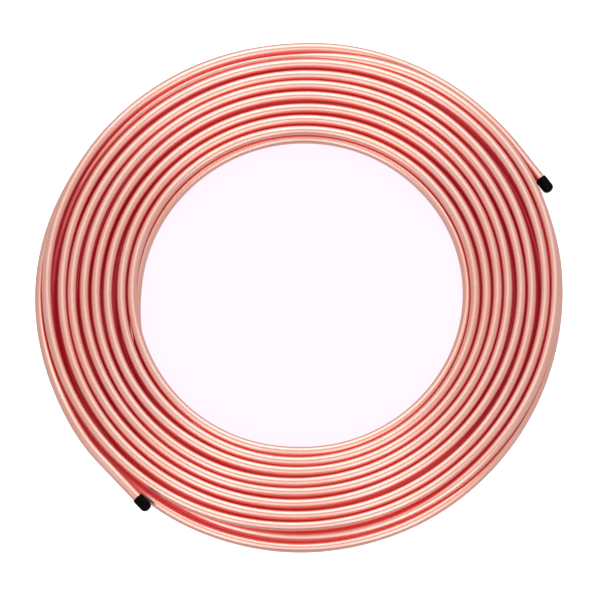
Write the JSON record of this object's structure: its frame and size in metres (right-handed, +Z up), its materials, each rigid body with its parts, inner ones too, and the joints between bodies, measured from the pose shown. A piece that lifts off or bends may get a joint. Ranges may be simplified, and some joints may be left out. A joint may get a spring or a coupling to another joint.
{
  "type": "copper tube coil",
  "caption": "Flat pancake coil of soft copper tube wound in two layers round an open eye, with a black cap pushed over each free tube end.",
  "frame": {"origin": "centre of the coil's eye, on the floor that the coil lies on", "axes": "+Z up along the coil's axis; +X towards the side where the starting end's cap lies; +Y from the finishing end's cap across the eye"},
  "size_m": [0.3414, 0.3414, 0.0134],
  "materials": {
    "copper": "bright drawn copper, smooth, with faint drawing lines along the tube",
    "cap": "black soft vinyl, satin"
  },
  "bodies": {
    "root": {"tube_coil": "copper", "end_cap_start": "cap", "end_cap_finish": "cap"}
  },
  "joints": []
}
